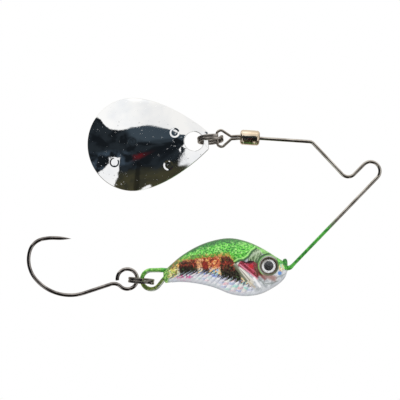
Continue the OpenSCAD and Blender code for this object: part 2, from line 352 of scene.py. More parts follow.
class Field:
    """A number or colour that varies over a surface: a shader socket used like a number."""

    def __init__(self, socket):
        self.socket = socket
        self.tree = socket.id_data

    def math(self, operation, *others):
        node = add_node(self.tree, "Math")
        node.operation = operation
        for slot, value in zip(node.inputs, (self, *others)):
            plug(slot, value)
        return Field(node.outputs[0])

    def __add__(self, other):
        return self.math("ADD", other)

    def __sub__(self, other):
        return self.math("SUBTRACT", other)

    def __rsub__(self, other):
        return self.math("MULTIPLY", -1.0).math("ADD", other)

    def __mul__(self, other):
        return self.math("MULTIPLY", other)

    def __or__(self, other):
        return self.math("MAXIMUM", other)

    __radd__ = __add__
    __rmul__ = __mul__

    def abs(self):
        return self.math("ABSOLUTE")

    def step(self, low, high):
        """0 up to low, 1 from high, smooth between; low may be the larger."""
        node = add_node(self.tree, "MapRange", Value=self, From_Min=low, From_Max=high)
        node.interpolation_type = "SMOOTHSTEP"
        return Field(node.outputs["Result"])

    def curve(self, points):
        """A smooth curve through (value in, value out) points."""
        x0, x1 = points[0][0], points[-1][0]
        y0, y1 = min(y for _, y in points), max(y for _, y in points)
        places = [((x - x0) / (x1 - x0), (y - y0) / (y1 - y0)) for x, y in points]
        node = add_node(self.tree, "FloatCurve")
        line = node.mapping.curves[0]
        for place in places[1:-1]:
            line.points.new(*place)
        line.points[0].location = places[0]
        line.points[-1].location = places[-1]
        node.mapping.update()
        plug(node.inputs["Value"], (self - x0) * (1 / (x1 - x0)))
        return Field(node.outputs[0]) * (y1 - y0) + y0


def apart(field):
    """The three parts of a place or a colour."""
    return [Field(out) for out in add_node(field.tree, "SeparateXYZ", Vector=field).outputs]


def mix(mask, below, above):
    """The colour above where mask is 1, over the colour below."""
    node = add_node(next(v.tree for v in (mask, below, above) if isinstance(v, Field)), "Mix")
    node.data_type = "RGBA"
    for slot, value in zip((node.inputs[0], node.inputs[6], node.inputs[7]), (mask, below, above)):
        plug(slot, value)
    return Field(node.outputs[2])


class Surface:
    """A material's tree, with the place on the object in millimetres and textures at that scale."""

    def __init__(self, name):
        self.material = bpy.data.materials.new(name)
        self.material.use_nodes = True
        self.tree = self.material.node_tree
        self.shader = self.tree.nodes["Principled BSDF"]
        self.at = self.scaled(Field(add_node(self.tree, "TexCoord").outputs["Object"]), (1 / MM,) * 3)
        self.x, self.y, self.z = apart(self.at)

    def scaled(self, place, factors):
        """A place with its x, y and z each multiplied."""
        node = add_node(self.tree, "VectorMath", Vector=place)
        node.operation = "MULTIPLY"
        node.inputs[1].default_value = factors
        return Field(node.outputs[0])

    def noise(self, per_mm, detail, stretch=(1, 1, 1)):
        """A slow random value from 0 to 1."""
        place = self.scaled(self.at, stretch)
        return Field(add_node(self.tree, "TexNoise", Vector=place, Scale=per_mm, Detail=detail).outputs[0])

    def cells(self, per_mm, stretch=(1, 1, 1)):
        """A value at random for each cell, and the distance to its middle."""
        node = add_node(self.tree, "TexVoronoi", Vector=self.scaled(self.at, stretch), Scale=per_mm)
        return apart(Field(node.outputs["Color"]))[0], Field(node.outputs["Distance"])

    def random(self, value):
        """A number from 0 to 1 at random for every whole number."""
        node = add_node(self.tree, "TexWhiteNoise")
        node.noise_dimensions = "1D"
        plug(node.inputs["W"], value)
        return Field(node.outputs["Value"])

    def value(self, key):
        """A point attribute of the mesh."""
        node = add_node(self.tree, "Attribute")
        node.attribute_name = key
        return Field(node.outputs["Fac"])

    def ramp(self, value, stops):
        """Colours at places from 0 to 1; a stop is its place and then its colour."""
        node = add_node(self.tree, "ValToRGB")
        plug(node.inputs[0], value)
        bands = node.color_ramp.elements
        for _ in stops[2:]:
            bands.new(0.5)
        for (place, *colour), band in zip(stops, bands):
            band.position = place
            band.color = linear(colour)
        return Field(node.outputs[0])

    def blob(self, x, z, rx, rz, soft=0.35):
        """An elliptical spot in the side view, 1 inside and 0 outside."""
        across = ((self.x - x) * (1 / rx)).math("POWER", 2.0)
        up = ((self.z - z) * (1 / rz)).math("POWER", 2.0)
        return (across + up).step(1 + soft, 1 - soft)

    def stroke(self, start, end, width, soft=0.1):
        """A straight line in the side view, 1 on it."""
        run = np.array(end, float) - np.array(start, float)
        length = float(np.linalg.norm(run))
        ux, uz = run / length
        dx, dz = self.x - start[0], self.z - start[1]
        along = dx * ux + dz * uz
        off = (dx * -uz + dz * ux).abs()
        beyond = (along - length / 2).abs() - length / 2
        return (off | beyond).step(width / 2 + soft, width / 2 - soft)

    def spots(self, coat, rows):
        """Lays spots over a coat: x, z, half width, half height, softness, strength and colour of each."""
        for *spot, strength, colour in rows:
            coat = mix(self.blob(*spot) * strength, coat, colour)
        return coat

    def strokes(self, coat, rows):
        """Lays strokes over a coat: start, end, width, softness, strength and colour of each."""
        for *line, strength, colour in rows:
            coat = mix(self.stroke(*line) * strength, coat, colour)
        return coat

    def relief(self, height, depth_mm, strength):
        """Bumps the surface by a height field; depth_mm is how deep its range is."""
        node = add_node(self.tree, "Bump", Strength=strength, Distance=depth_mm * MM, Height=height)
        plug(self.shader.inputs["Normal"], Field(node.outputs[0]))

    def set(self, **sockets):
        """Sets the shader's inputs; an underscore in a name stands for a space."""
        for key, value in sockets.items():
            plug(self.shader.inputs[key.replace("_", " ")], value)
        return self.material


# ---- materials ----

def metal(name, light, dark, roughness, grain):
    """Plated metal's surface, colour and roughness: two tones in slow clouds, and fine brushed grain."""
    s = Surface(name)
    cloud = s.noise(0.35, 4)
    fine = s.noise(grain, 3, stretch=(0.25, 1, 1))
    tone = (cloud * 0.7 + fine * 0.3).step(0.35, 0.65)
    s.relief(fine, 0.004, 0.5)
    return s, mix(tone, dark, light), (roughness - 0.04) + 0.08 * fine


def bright_wire_material():
    """Drawn wire, bare in front, under green lacquer and clear coat where it runs into the fish."""
    s, steel, rough = metal("bright_wire", (212, 205, 196), (156, 148, 138), 0.17, 9)
    ragged = s.noise(1.6, 3) - 0.5
    painted = (s.x + ragged * 2.4).step(-6.6, -8.4) * s.z.step(-8.0, -9.0)
    tone = s.noise(2.2, 3).step(0.38, 0.62)
    green = mix(tone, (40, 128, 46), (96, 196, 76))
    loop = s.x.step(-41.5, -42.3)
    upper = s.z.step(-21.6, -21.2)
    # Painted highlight: the tail loop's upper strand is a lighter, yellower green
    green = mix(loop * upper, green, mix(tone, (78, 160, 60), (150, 214, 104)))
    olive = mix(tone, (58, 84, 40), (148, 168, 78))
    green = mix(s.x.step(-39.9, -40.3) * (1 - upper), green, olive)
    clear = (s.z + ragged * 0.3).step(-20.0, -20.2) * upper * loop * s.x.step(-45.0, -44.6)
    clear = clear | (s.z + (s.x + 43.0).math("MAXIMUM", 0.0) * -1.1 + ragged * 0.3).step(-23.6, -23.9)
    green = mix(clear * s.x.step(-40.2, -40.8) * 0.8, green, (188, 194, 190))
    return s.set(Base_Color=mix(painted, steel, green), Roughness=rough + painted * 0.08,
                 Metallic=1 - painted * 0.6, Coat_Weight=0.3, Coat_Roughness=0.08)


def plain_metal(*look):
    """A metal with nothing over it."""
    s, colour, rough = metal(*look)
    return s.set(Base_Color=colour, Roughness=rough, Metallic=1.0)


def mirror_material():
    """Mirror nickel: nearly clean, with faint hairlines and handling marks."""
    s = Surface("mirror_nickel")
    hair = s.noise(3.0, 2, stretch=(0.2, 1, 6)).step(0.62, 0.8)
    haze = s.noise(0.25, 3).step(0.4, 0.75)
    pitted, _ = s.cells(4.2)
    s.relief(s.noise(0.9, 2) * 0.6 + s.noise(3.2, 3) * 0.4, 0.008, 0.6)
    tone = mix(haze, (250, 250, 250), (238, 240, 243))
    return s.set(Base_Color=tone, Metallic=1.0,
                 Roughness=0.03 + 0.02 * haze + 0.05 * hair + 0.25 * pitted.step(0.97, 0.985))


# Strokes painted on the head: start, end, width, softness of the edge, strength and colour
BEHIND_GILL = [((-24.2, -17.0), (-22.2, -16.0), 0.5, 0.2, 0.5, (196, 210, 186)),
               ((-26.7, -18.7), (-24.0, -22.2), 1.0, 0.15, 1.0, (222, 218, 204)),
               ((-27.2, -18.9), (-24.9, -21.9), 0.5, 0.12, 0.85, (104, 112, 84)),
               ((-26.5, -19.0), (-24.2, -21.8), 0.16, 0.1, 0.8, (86, 82, 62))]
GILL_AND_JAW = [((-26.1, -18.7), (-22.7, -21.5), 0.24, 0.1, 0.95, (236, 150, 172)),
                ((-25.5, -18.8), (-22.9, -20.9), 0.14, 0.1, 0.7, (120, 24, 48)),
                ((-25.2, -18.5), (-22.9, -20.3), 0.15, 0.1, 0.6, (230, 120, 140)),
                ((-26.2, -19.3), (-23.4, -21.9), 0.2, 0.1, 0.9, (248, 244, 236)),
                ((-22.4, -20.2), (-19.4, -21.4), 1.1, 0.35, 0.8, (158, 104, 92)),
                ((-22.5, -20.3), (-21.2, -21.5), 0.5, 0.2, 0.8, (138, 48, 44)),
                ((-22.8, -20.0), (-22.5, -21.2), 0.25, 0.1, 0.8, (70, 40, 30)),
                ((-23.3, -21.4), (-22.2, -23.0), 0.45, 0.15, 0.9, (255, 255, 255)),
                ((-22.8, -21.2), (-21.3, -22.6), 0.14, 0.1, 0.6, (120, 126, 128)),
                ((-21.4, -22.6), (-18.6, -22.0), 0.14, 0.1, 0.5, (128, 134, 138)),
                ((-24.4, -22.0), (-23.2, -23.2), 0.3, 0.15, 0.6, (214, 190, 150))]
# Middle of the rings painted round the eye
EYE_PAINT = (-20.37, -18.9)
# Lines along the fish's side, as x, z points: the foil's top edge, the back, the green's edge, the belly
FOIL_EDGE = [(-42, -21.6), (-40.4, -21.2), (-38.0, -20.4), (-34.0, -19.8), (-32, -19.9), (-30.0, -20.7),
             (-27.0, -21.4), (-24.0, -22.4)]
BACK_LINE = [(-42, -19.6), *STATIONS[:9, 0:2].tolist(), (-16, -20)]
GREEN_EDGE = [(-42, -22.4), (-41, -21.4), (-40, -19.6), (-38.0, -18.2), (-34.0, -17.4), (-31.6, -17.2),
              (-29.6, -16.9), (-28.8, -16.9), (-27.8, -17.6), (-26.8, -18.2), (-25.4, -17.8),
              (-24.4, -17.1), (-23.6, -16.1), (-22.9, -15.6), (-22.0, -16.2), (-21.0, -16.8),
              (-19.8, -17.3), (-18.6, -18.8), (-16, -20.2)]
BELLY_LINE = [(-42, -22.4), (-41, -22.4), *STATIONS[1:9, 2:4].tolist(), (-16, -19.6)]


class FishSkin(Surface):
    """The fish's surface, with the textures and masks that its colours share."""

    def __init__(self, name):
        super().__init__(name)
        self.ragged = self.noise(2.6, 3) - 0.5
        self.fleck, _ = self.cells(4.4)
        self.spark, _ = self.cells(2.9)
        self.crisp = self.noise(3.6, 3).step(0.44, 0.56)
        self.foil_edge = self.x.curve(FOIL_EDGE)
        self.streak = self.noise(2.4, 2, stretch=(2.2, 1, 0.5))
        self.sides = self.y.abs().step(0.7, 1.3)


def holo_foil(s):
    """Place within a tooth from 0 to 1, and the foil: leaning silver teeth, tinted and edged in grey."""
    x, z, ragged, crisp = s.x, s.z, s.ragged, s.crisp
    lean = x.curve([(-42, 1.5), (-37, 1.25), (-31, 0.85), (-26, 0.45), (-22, 0.35)])
    count = (x - (z + 21) * lean) * 1.02 + ragged * 0.5
    tooth = count.math("FRACT")
    row = (z + x * 0.16) * 0.8 + ragged * 1.1
    chance = (s.random(count.math("FLOOR")) + row * 0.4).math("FRACT")
    pale = s.ramp(chance, [(0.0, 255, 255, 255), (0.26, 226, 230, 238), (0.4, 255, 255, 255),
                           (0.52, 196, 206, 238), (0.62, 255, 255, 255), (0.74, 250, 216, 226),
                           (0.82, 255, 255, 255), (0.92, 206, 240, 232), (1.0, 236, 236, 240)])
    vivid = s.ramp(chance, [(0.0, 255, 255, 255), (0.16, 255, 255, 255), (0.28, 150, 168, 230),
                            (0.4, 255, 255, 255), (0.52, 252, 176, 184), (0.62, 255, 255, 255),
                            (0.72, 252, 250, 236), (0.86, 160, 244, 226), (1.0, 255, 255, 255)])
    sparkle = s.spark.step(0.4, 0.6)
    foil = s.spots(pale, [(-26.8, -22.9, 3.6, 1.5, 0.5, 0.9, vivid),
                          (-37.3, -21.4, 1.8, 0.7, 0.4, ragged.step(-0.08, 0.0), (238, 96, 168)),
                          (-33.4, -20.2, 0.8, 0.5, 0.6, crisp, (60, 108, 232)),
                          (-30.9, -20.7, 1.0, 0.5, 0.6, 0.4 + 0.6 * crisp, (92, 140, 240)),
                          (-31.1, -20.2, 0.9, 0.3, 0.6, sparkle, (120, 232, 226)),
                          (-40.4, -21.5, 1.3, 0.6, 0.35, sparkle, (150, 214, 224))])
    tips = (z - s.foil_edge + ragged * 2.0).step(-1.3, -0.5)
    tooth_end = tooth.step(1.0, 0.94)
    foil = mix(tooth.step(0.42, 0.56) * tooth_end * 0.4, foil, (190, 194, 210))
    drawn = tooth.step(0.62, 0.76) * tooth_end * (0.15 + 0.85 * tips)
    return tooth, mix(drawn, foil, mix(crisp, (64, 68, 82), (126, 132, 150)))


def flank_band(s):
    """Band of the flank: rust, orange and yellow columns, full of fine bright flecks."""
    x, z, ragged, crisp, spark, fleck = s.x, s.z, s.ragged, s.crisp, s.spark, s.fleck
    wide = s.noise(0.8, 2, stretch=(1, 1, 0.3))
    band = s.ramp(wide + ragged * 0.6, [(0.25, 96, 40, 26), (0.42, 160, 66, 38),
                                        (0.55, 204, 96, 58), (0.75, 226, 172, 100)])
    band = s.spots(band, [(-30.6, -18.5, 1.3, 1.2, 0.7, 0.3 + 0.5 * crisp, (212, 78, 54)),
                          (-34.4, -18.5, 0.6, 1.4, 0.35, 0.9, (232, 170, 120)),
                          (-33.6, -17.2, 1.4, 0.4, 0.35, crisp, (226, 92, 36)),
                          (-29.6, -17.4, 0.8, 0.6, 0.35, 0.9, (232, 176, 84)),
                          (-36.6, -18.2, 2.2, 0.55, 0.7, 0.8, (150, 62, 36))])
    low = (z + ragged * 0.9).step(-19.0, -19.9)
    bright = s.ramp(spark, [(0.0, 250, 232, 120), (0.35, 250, 250, 236), (0.6, 170, 236, 216),
                            (1.0, 110, 170, 240)])
    band = mix(low * 0.85, band, bright)
    tail = (x + ragged * 1.5).step(-37.9, -38.9)
    yellow = s.ramp(spark, [(0.0, 104, 150, 52), (0.3, 196, 206, 96), (0.5, 250, 248, 190),
                            (0.75, 232, 214, 92), (1.0, 140, 214, 190)])
    band = mix(tail, band, yellow)
    band = s.spots(band, [(-39.2, -19.0, 1.4, 0.55, 0.6, crisp, (58, 50, 26))])
    fleck_tone = mix(spark.step(0.4, 0.6), (252, 190, 96), (250, 196, 150))
    band = mix(fleck.step(0.72, 0.86) * 0.85, band, fleck_tone)
    return mix(fleck.step(0.34, 0.16) * 0.75, band, (96, 30, 18))


def barred(s, band):
    """The band under dark bars, slightly leaning, rust-red flecked above and greenish black below."""
    z, ragged, crisp, fleck = s.z, s.ragged, s.crisp, s.fleck
    across = s.x + (z + 19.5) * 0.12 + ragged * 0.6
    bars = (across + 36.4).abs().step(1.95, 1.65) | (across + 32.95).abs().step(0.8, 0.5)
    bars = (bars | (across + 28.1).abs().step(2.1, 1.8)) * (z + ragged * 0.6).step(-17.6, -18.4)
    bars = bars | ((across + 28.4).abs().step(1.5, 1.1) * (z + ragged * 0.5).step(-16.7, -17.3))
    tone = mix(crisp, (26, 24, 18), (58, 50, 36))
    red_share = (z + ragged * 1.6).step(-20.4, -18.4) * (0.25 + 0.75 * s.spark.step(0.35, 0.6))
    tone = mix(red_share * 0.85, tone, mix(fleck.step(0.6, 0.9), (122, 36, 26), (206, 84, 52)))
    tone = s.spots(tone, [(-33.0, -18.7, 0.7, 0.9, 0.7, 0.4 + 0.6 * crisp, (160, 40, 26)),
                          (-36.8, -19.7, 1.7, 0.7, 0.5, 0.8, (34, 32, 24))])
    tone = mix(fleck.step(0.16, 0.06) * 0.5, tone, (70, 110, 52))
    return mix(bars, band, tone)


def green_back(s):
    """The green back's place and colour: bright in its middle, with dark lacquer and painted shade along the
    outline.
    """
    x, z, ragged, crisp, spark = s.x, s.z, s.ragged, s.crisp, s.spark
    back = mix(crisp, (40, 142, 36), (124, 228, 84))
    back = mix(spark.step(0.74, 0.92) * 0.7, back, (184, 246, 140))
    back = mix(spark.step(0.26, 0.1) * 0.65, back, (28, 104, 36))
    back = s.spots(back, [(-22.0, -16.2, 2.0, 0.8, 0.8, 0.4, (186, 232, 140))])
    # Dark rim along the back's outline: partly darker lacquer, partly painted shade where the rounded back
    # turns away
    outline = x.curve(BACK_LINE)
    reach = x.curve([(-41, 0.5), (-37, 0.8), (-32, 1.3), (-28, 1.35)])
    rim = (z - outline + reach + ragged * 2.0).step(0.0, 0.8) * x.step(-24.0, -28.0)
    back = mix(rim * 0.9, back, mix(crisp, (14, 76, 30), (44, 136, 50)))
    # Dark band just under the head's outline: partly darker lacquer, partly painted shade
    back = mix((z - outline).step(-0.5, -0.15) * x.step(-20.0, -24.0) * 0.7, back, (36, 96, 44))
    border = x.curve(GREEN_EDGE)
    over = (z - border + ragged * 0.8).step(-0.1, 0.1)
    olive = (z - border + ragged * 1.4).step(1.1, 0.0) * x.step(-26.4, -27.4)
    return over, mix(olive * 0.8, back, mix(spark.step(0.5, 0.7), (112, 132, 46), (212, 128, 62)))


def with_gill(s, coat):
    """The coat with a crimson gill, its pink and cream stripes, and the white wedge behind it."""
    coat = s.strokes(coat, BEHIND_GILL)
    gill = s.stroke((-25.6, -18.6), (-22.9, -20.4), 1.5, 0.15)
    gill = gill | s.blob(-24.0, -18.8, 1.2, 0.95, 0.15)
    tone = mix(s.noise(3.4, 2).step(0.4, 0.6), (112, 26, 40), (184, 62, 84))
    tone = s.spots(tone, [(-24.0, -19.1, 0.5, 0.5, 0.8, 0.8, (204, 34, 34)),
                          (-24.5, -17.9, 1.2, 0.5, 0.6, 1.0, (48, 34, 34))])
    coat = s.strokes(mix(gill, coat, tone), GILL_AND_JAW)
    gleam = s.ramp(s.fleck, [(0.0, 240, 232, 110), (0.3, 238, 250, 240), (0.5, 214, 110, 60),
                             (0.7, 236, 226, 130), (1.0, 120, 200, 214)])
    return s.spots(coat, [(-17.85, -19.3, 0.55, 0.75, 0.6, 0.9, gleam),
                          (-18.2, -20.4, 0.4, 0.4, 0.6, 0.9, (66, 132, 206))])


def with_head_lines(s, coat):
    """The coat with the gill cover's rear line, the rings round the eye, and painted shade in the moulded
    grooves.
    """
    # The rear line steps down from the back: painted shade along the moulded edge, with a light edge above it
    aside = np.array([-0.28, 0.3])
    for start, end in zip(GILL_EDGE[:5], GILL_EDGE[1:6]):
        # Painted highlight: the light edge beside the moulded step
        light = s.stroke(start + aside, end + aside, 0.26, 0.08) * s.sides * 0.8
        coat = mix(light, coat, (170, 236, 132))
        # Painted shade: the dark line in the step
        coat = mix(s.stroke(start, end, 0.32, 0.08) * s.sides * 0.95, coat, (20, 84, 30))
    # Painted rings round the eye's socket, with a green ridge behind them
    streak = s.streak
    eye_x, eye_z = s.x - EYE_PAINT[0], s.z - EYE_PAINT[1]
    ring = (eye_x.math("POWER", 2.0) + eye_z.math("POWER", 2.0)).math("SQRT")
    behind = (eye_z * 0.64 - eye_x * 0.77 + 0.2).step(-0.4, 0.6) * s.sides
    coat = mix((ring - 2.06).abs().step(0.2, 0.1) * behind * 0.9, coat, (148, 206, 116))
    outer = mix(eye_z.step(0.2, 0.9), (84, 50, 28), (34, 92, 30))
    coat = mix((ring - 2.34).abs().step(0.26, 0.14) * behind * 0.95, coat, outer)
    olive = mix(streak.step(0.4, 0.6), (104, 112, 84), (148, 156, 138))
    olive = mix((eye_x - eye_z * 0.3).step(0.5, 1.4) * 0.85, olive, (52, 88, 34))
    olive = mix(eye_z.step(-0.8, -1.6) * 0.7, olive, (126, 134, 104))
    coat = mix(ring.step(2.0, 1.92), coat, olive)
    coat = mix((ring - 1.94).abs().step(0.1, 0.04) * 0.6, coat, (84, 96, 66))
    coat = mix(ring.step(1.8, 1.7), coat, mix(streak.step(0.3, 0.7), (64, 52, 38), (98, 84, 62)))
    coat = mix((ring - 1.86).abs().step(0.1, 0.04) * behind * 0.8, coat, (170, 168, 172))
    coat = mix(ring.step(1.58, 1.5), coat, (60, 50, 42))
    # Painted shade: dark green laid into the moulded grooves
    return mix(s.value("groove") * s.sides * 0.7, coat, (40, 84, 38))


def fish_paint(s):
    """The fish's colours by their place in the side view, and how much bare foil shows."""
    x, z, ragged, crisp = s.x, s.z, s.ragged, s.crisp
    tooth, foil = holo_foil(s)
    flank = barred(s, flank_band(s))
    # Saw-toothed edge between the flank and the foil belly
    saw = z - s.foil_edge + (1 - tooth) * 1.1
    above = (saw - 0.3).step(-0.06, 0.06)
    near_edge = (saw - 0.15).step(-0.1, 0.06)
    foil = mix(near_edge * x.step(-38.5, -37.5) * 0.85, foil, (52, 54, 62))
    coat = mix(above, foil, flank)
    over, back = green_back(s)
    coat = mix(over, coat, back)
    # Silver face, and a grey-green plate before the eye
    face_side = (x + z * 0.66 + ragged * 0.3).step(-39.3, -38.9)
    face_side = face_side * (x.step(-26.8, -26.5) | z.step(-18.2, -18.5)) * (1 - over)
    face = mix(s.noise(1.3, 3).step(0.4, 0.6), (176, 181, 184), (218, 221, 223))
    face = mix(s.streak.step(0.56, 0.66) * 0.4, face, (140, 148, 150))
    coat = mix(face_side, coat, face)
    plate = s.blob(-23.1, -17.9, 1.45, 3.0, 0.2) * (1 - over)
    coat = mix(plate, coat, mix(s.streak.step(0.44, 0.56), (82, 106, 68), (160, 184, 142)))
    coat = with_gill(s, coat)
    # Clear grey lower edge, darker at the very bottom as painted shade, and green tail end and nose
    above_belly = z - x.curve(BELLY_LINE)
    lower = (above_belly + ragged * 0.2).step(1.0, 0.6)
    coat = mix(lower * 0.8, coat, mix(above_belly.step(0.5, 0.1), (206, 209, 214), (172, 176, 183)))
    tip = (x + ragged * 0.8).step(-40.0, -40.8)
    coat = mix(tip, coat, mix(crisp, (60, 134, 50), (166, 212, 104)))
    nose = (x * 0.75 + z * 0.66 + ragged * 0.2).step(-25.6, -25.2) * z.step(-19.4, -19.0)
    coat = mix(nose, coat, back)
    nose_tip = mix(crisp, (24, 96, 34), (64, 160, 58))
    coat = mix(s.blob(-16.85, -18.2, 0.8, 0.9, 0.2), coat, nose_tip)
    return with_head_lines(s, coat), (1 - above) * (1 - over) * (1 - face_side) * (1 - lower)


def fish_material(name, foil_share):
    """The fish's paint under lacquer; foil_share is how metallic its bare foil is."""
    s = FishSkin(name)
    coat, foil = fish_paint(s)
    grain = s.noise(5.0, 3)
    _, middle = s.cells(1.5, stretch=(0.9, 1, 1.1))
    s.relief(grain * 0.5 + middle * 0.5, 0.05, 0.6)
    return s.set(Base_Color=coat, Metallic=foil * foil_share, Roughness=0.34 + 0.12 * grain,
                 Coat_Weight=0.5, Coat_Roughness=0.06)


def eye_print_material():
    """Printed eye: white iris under painted shade above and behind, dark pupil paler on top as a painted
    highlight, brown rim.
    """
    s = Surface("eye_print")
    r = s.value("eye_radius")
    streaks = s.noise(6.0, 3)
    up = s.z - EYE_MIDDLE[1]
    iris = mix(streaks.step(0.35, 0.65), (250, 250, 248), (255, 255, 255))
    # Painted shade: the iris darkens towards its top and its rear
    iris_painted_shade = mix((up - (s.x - EYE_MIDDLE[0]) * 0.5).step(0.3, 1.3) * 0.75, iris, (150, 142, 132))
    # Painted highlight: the pupil is paler towards its top
    pupil = mix(up.step(-0.2, 0.4), (6, 6, 8), (70, 72, 74))
    colour = mix(r.step(1.0, 0.93), iris_painted_shade, pupil)
    colour = mix((r + up * 0.07).step(1.38, 1.43), colour, (70, 60, 50))
    return s.set(Base_Color=colour, Roughness=0.35 + 0.1 * streaks)


def resin_material():
    """Clear cast resin, very faintly uneven."""
    s = Surface("eye_resin")
    ripple = s.noise(0.5, 2)
    clear = mix(ripple, (255, 255, 255), (251, 253, 253))
    return s.set(Base_Color=clear, Roughness=0.01 + 0.01 * ripple,
                 Transmission_Weight=1.0, IOR=1.12, Coat_Weight=0.35, Coat_Roughness=0.02)


BRIGHT_WIRE = bright_wire_material()
BARREL_PLATE = plain_metal("barrel_plate", (240, 224, 202), (218, 198, 172), 0.14, 7)
DARK_WIRE = plain_metal("dark_wire", (206, 197, 186), (134, 126, 117), 0.3, 10)
RING_PLATE = plain_metal("ring_plate", (170, 164, 158), (108, 103, 98), 0.34, 9)
BLACK_NICKEL = plain_metal("black_nickel", (186, 179, 174), (96, 90, 88), 0.1, 9)
MIRROR = mirror_material()
CASTING = fish_material("painted_casting", 0.1)
HOLO_FILM = fish_material("holo_film", 0.15)
EYE_PRINT = eye_print_material()
RESIN = resin_material()


# ---- fish ----

def eye_frame(side):
    """Matrix of an eye: its Z points out of the head; side is -1 for the left eye, 1 for the right."""
    return (Matrix.Translation((EYE_MIDDLE[0], 0, EYE_MIDDLE[1]))
            @ Matrix.Rotation(math.radians(-side * EYE_YAW), 4, "Z")
            @ Matrix.Rotation(math.radians(-side * 90), 4, "X"))


def fish_grid(t, angles, grow=0.0):
    """Points for every station t and angle round the fish; grow is how far outside its skin they lie."""
    s = smooth_stations(t)
    back, belly, half = s[:, 0:2], s[:, 2:4], s[:, 4]
    middle, up = (back + belly) / 2, back - belly
    length = np.linalg.norm(up, axis=1, keepdims=True)
    up = up / length * (length / 2 + grow)
    cos, sin = np.cos(np.radians(angles)), np.sin(np.radians(angles))
    power = 2 / SECTION_POWER
    soft_cos = np.sign(cos) * np.abs(cos) ** power
    soft_sin = np.sign(sin) * np.abs(sin) ** power
    plane = middle[:, None, :] + up[:, None, :] * soft_cos[None, :, None]
    y = (half + grow)[:, None] * soft_sin[None, :]
    return np.stack([plane[..., 0], y, plane[..., 1]], axis=-1)


def moulding(x, z):
    """Height of the head's moulded features, and the groove depth that sets painted shade, by place in the
    side view.
    """
    gill = line_distance(x, z, GILL_EDGE)
    height = 0.17 * smoothstep(gill, -0.1, 0.12) * np.exp(-np.maximum(gill, 0) / 1.4)
    groove = np.exp(-((gill + 0.06) / 0.14) ** 2) * smoothstep(z, -20.6, -18.8)
    for stripe in GILL_STRIPES:
        height = height + 0.06 * np.exp(-(line_distance(x, z, stripe) / 0.16) ** 2)
    for line in JAW_LINES:
        off = line_distance(x, z, line)
        height = height - 0.09 * np.exp(-(off / 0.16) ** 2)
        groove = np.maximum(groove, 0.55 * np.exp(-(off / 0.12) ** 2))
    # Ridge and groove that arch over the eye, up and behind it
    dx, dz = x - EYE_MIDDLE[0] - 0.25, z - EYE_MIDDLE[1]
    ring = np.hypot(dx, dz)
    arch = smoothstep(np.cos(np.arctan2(dz, dx) - math.radians(140)), 0.1, 0.6)
    height = height + 0.12 * arch * np.exp(-((ring - 2.45) / 0.2) ** 2)
    groove = np.maximum(groove, arch * np.exp(-((ring - 2.72) / 0.1) ** 2))
    return height, groove


def raised(grid, normal):
    """Raises points by the moulding along their normals, and gives the groove values."""
    height, groove = moulding(grid[..., 0], grid[..., 2])
    flat = smoothstep(np.abs(normal[..., 1]), 0.1, 0.4)
    return grid + normal * (height * flat)[..., None], groove * flat


def moulded(grid):
    """The fish's points raised by the moulding, and the groove values."""
    along = np.gradient(grid, axis=0)
    around = np.roll(grid, -1, axis=1) - np.roll(grid, 1, axis=1)
    normal = np.cross(around, along)
    normal /= np.maximum(np.linalg.norm(normal, axis=-1, keepdims=True), 1e-9)
    outward = grid - grid.mean(axis=1, keepdims=True)
    normal *= np.sign((normal * outward).sum(-1, keepdims=True))
    return raised(grid, normal)


def sunk_sockets(points):
    """Presses the skin in behind the printed eyes, down to a level floor under each socket's rim."""
    floor, inner, outer = 1.8, 1.55, 1.85
    for side in (-1, 1):
        place = np.array(eye_frame(side))
        local = (points - place[:3, 3]) @ place[:3, :3]
        r = np.hypot(local[..., 0], local[..., 1])
        inside = smoothstep(r, outer, inner) * (local[..., 2] > 0)
        local[..., 2] -= inside * np.maximum(local[..., 2] - floor, 0)
        points = local @ place[:3, :3].T + place[:3, 3]
    return points


# The tail end's rounding, as a share of its section and how far behind it
TAIL_ROUNDING = ((0.42, 0.34), (0.66, 0.3), (0.86, 0.2), (0.96, 0.09))
# Stub of the casting gate on the nose, as (radius, height) from the middle of its foot
GATE_STUB = [(0.52, -0.2), (0.52, 0.3), (0.50, 0.8), (0.45, 1.1), (0.35, 1.33), (0.2, 1.46), (0.06, 1.49)]
GATE_PLACE = (-17.1, 0, -19.0)
# The film covers these stations from the tail, and these angles from the back down
FILM_STATIONS = (0.5, 5.2)
FILM_ANGLES = (48, 168)


def casting():
    """The fish with its rounded tail end, the rims of its eye sockets and the stub on its nose."""
    t = np.concatenate([np.linspace(0, 7.8, 190), np.linspace(7.84, 9, 46)])
    angles = np.arange(144) * 2.5
    body, groove = moulded(fish_grid(t, angles))
    body = sunk_sockets(body)
    tail, centre = body[:1], body[:1].mean(axis=1, keepdims=True)
    lips = [centre + (tail - centre) * share - np.array([back, 0, 0]) for share, back in TAIL_ROUNDING]
    grid = np.concatenate([*lips, body])
    values = np.concatenate([np.zeros((len(lips), len(angles))), groove])
    rim = [(SOCKET_R, SOCKET_FLOOR - 0.3)]
    rim += arc((1.62, 2.30), 0.12, 180, 90) + arc((1.72, 2.26), 0.16, 90, 35)
    rim += [(2.02, 2.12), (2.22, 1.7), (2.3, 1.2), (1.9, 1.0)]
    parts = [skin(grid)]
    parts += [moved(lathe(rim), eye_frame(side)) for side in (-1, 1)]
    parts.append(moved(lathe(GATE_STUB, 32, closed=False), Matrix.Translation(GATE_PLACE)))
    shape = joined(*parts)
    grooves = np.zeros(len(shape[0]))
    grooves[:values.size] = values.ravel()
    return shape, grooves


